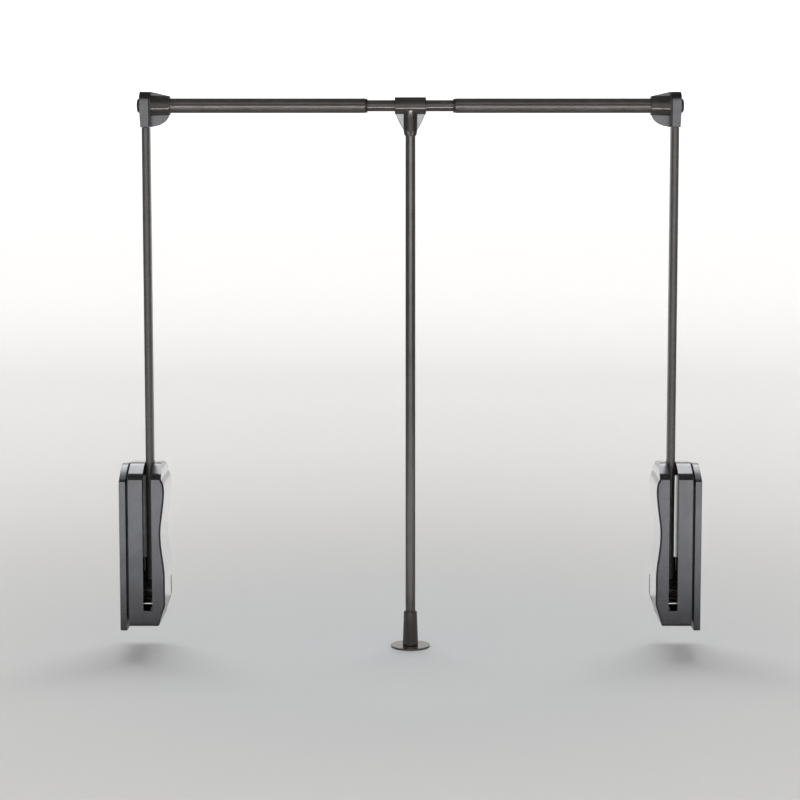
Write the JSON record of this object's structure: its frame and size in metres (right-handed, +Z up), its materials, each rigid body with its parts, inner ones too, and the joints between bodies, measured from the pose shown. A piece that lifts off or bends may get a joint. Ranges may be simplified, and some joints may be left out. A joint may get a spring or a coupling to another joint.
{
  "type": "pull down closet rod",
  "caption": "Pull down wardrobe rod: a telescopic bar on two gas-sprung side arms in wall housings, with a hanging pull handle.",
  "frame": {"origin": "under the centre of the handle's foot disc, midway between the housings, at the lowest point of the rod at rest", "axes": "+X along the bar to the right housing, -Y out of the wardrobe to the user, +Z up"},
  "size_m": [0.88, 0.105, 0.85],
  "materials": {
    "graphite_plastic": "satin moulded graphite grey",
    "black_plastic": "satin moulded black",
    "dark_enamel": "semi-gloss dark bronze grey coating on die-cast zinc",
    "dark_tube": "semi-gloss dark bronze grey coating on drawn steel tube",
    "zinc_steel": "bright zinc plate",
    "bright_steel": "ground and polished"
  },
  "bodies": {
    "left_housing": {"left_wall_plate": "graphite_plastic", "left_outer_shell": "graphite_plastic", "left_inner_shell": "graphite_plastic", "left_service_cover": "graphite_plastic", "left_pivot_pin": "bright_steel", "left_stop_pin": "bright_steel", "left_gas_cylinder": "zinc_steel", "left_fixing_screw": "zinc_steel", "left_shell_screw_1": "zinc_steel", "left_shell_screw_2": "zinc_steel", "left_shell_screw_3": "zinc_steel", "left_shell_screw_4": "zinc_steel"},
    "left_lift_rack": {"left_rack": "black_plastic", "left_spring_rod": "bright_steel"},
    "left_arm": {"left_arm_foot": "dark_enamel", "left_pivot_bush_inner": "black_plastic", "left_pivot_bush_outer": "black_plastic", "left_arm_tube": "dark_enamel", "left_arm_head": "graphite_plastic", "left_head_bolt": "zinc_steel", "left_head_cap": "black_plastic", "left_end_connector": "dark_enamel", "left_outer_tube": "dark_tube", "left_tube_bush": "black_plastic"},
    "bar_centre": {"inner_tube": "dark_tube"},
    "handle": {"handle_tee": "dark_enamel", "handle_rod": "dark_tube", "foot_sleeve": "dark_enamel", "foot_disc": "dark_enamel", "foot_screw": "zinc_steel"},
    "right_arm": {"right_arm_foot": "dark_enamel", "right_pivot_bush_inner": "black_plastic", "right_pivot_bush_outer": "black_plastic", "right_arm_tube": "dark_enamel", "right_arm_head": "graphite_plastic", "right_head_bolt": "zinc_steel", "right_head_cap": "black_plastic", "right_end_connector": "dark_enamel", "right_outer_tube": "dark_tube", "right_tube_bush": "black_plastic"},
    "right_housing": {"right_wall_plate": "graphite_plastic", "right_outer_shell": "graphite_plastic", "right_inner_shell": "graphite_plastic", "right_service_cover": "graphite_plastic", "right_pivot_pin": "bright_steel", "right_stop_pin": "bright_steel", "right_gas_cylinder": "zinc_steel", "right_fixing_screw": "zinc_steel", "right_shell_screw_1": "zinc_steel", "right_shell_screw_2": "zinc_steel", "right_shell_screw_3": "zinc_steel", "right_shell_screw_4": "zinc_steel"},
    "right_lift_rack": {"right_rack": "black_plastic", "right_spring_rod": "bright_steel"}
  },
  "joints": [
    {"name": "left_swing", "type": "hinge", "parent": "left_housing", "child": "left_arm", "pos_m": [-0.398, 0, 0.088], "axis": [1, 0, 0], "range_deg": [0, 85], "stiffness_Nm_per_rad": 5, "springref_deg": -114.59},
    {"name": "left_extend", "type": "slide", "parent": "left_arm", "child": "bar_centre", "axis": [1, 0, 0], "range_m": [-0.025, 0.135]},
    {"name": "right_extend", "type": "slide", "parent": "bar_centre", "child": "right_arm", "axis": [1, 0, 0], "range_m": [-0.025, 0.135]},
    {"name": "right_swing", "type": "hinge", "parent": "right_arm", "child": "right_housing", "pos_m": [0.398, 0, 0.088], "axis": [1, 0, 0], "range_deg": [-85, 0]},
    {"name": "handle_turn", "type": "hinge", "parent": "bar_centre", "child": "handle", "pos_m": [0, 0, 0.829], "axis": [1, 0, 0], "continuous": true},
    {"name": "left_rack_lift", "type": "slide", "parent": "left_housing", "child": "left_lift_rack", "axis": [0, 0, 1], "range_m": [0, 0.0208]},
    {"name": "right_rack_lift", "type": "slide", "parent": "right_housing", "child": "right_lift_rack", "axis": [0, 0, 1], "range_m": [0, 0.0208]}
  ],
  "couplings": [
    {"joint": "right_swing", "follows": "left_swing", "ratio": -1},
    {"joint": "left_rack_lift", "follows": "left_swing", "m_per_rad": 0.014},
    {"joint": "right_rack_lift", "follows": "left_swing", "m_per_rad": 0.014}
  ]
}
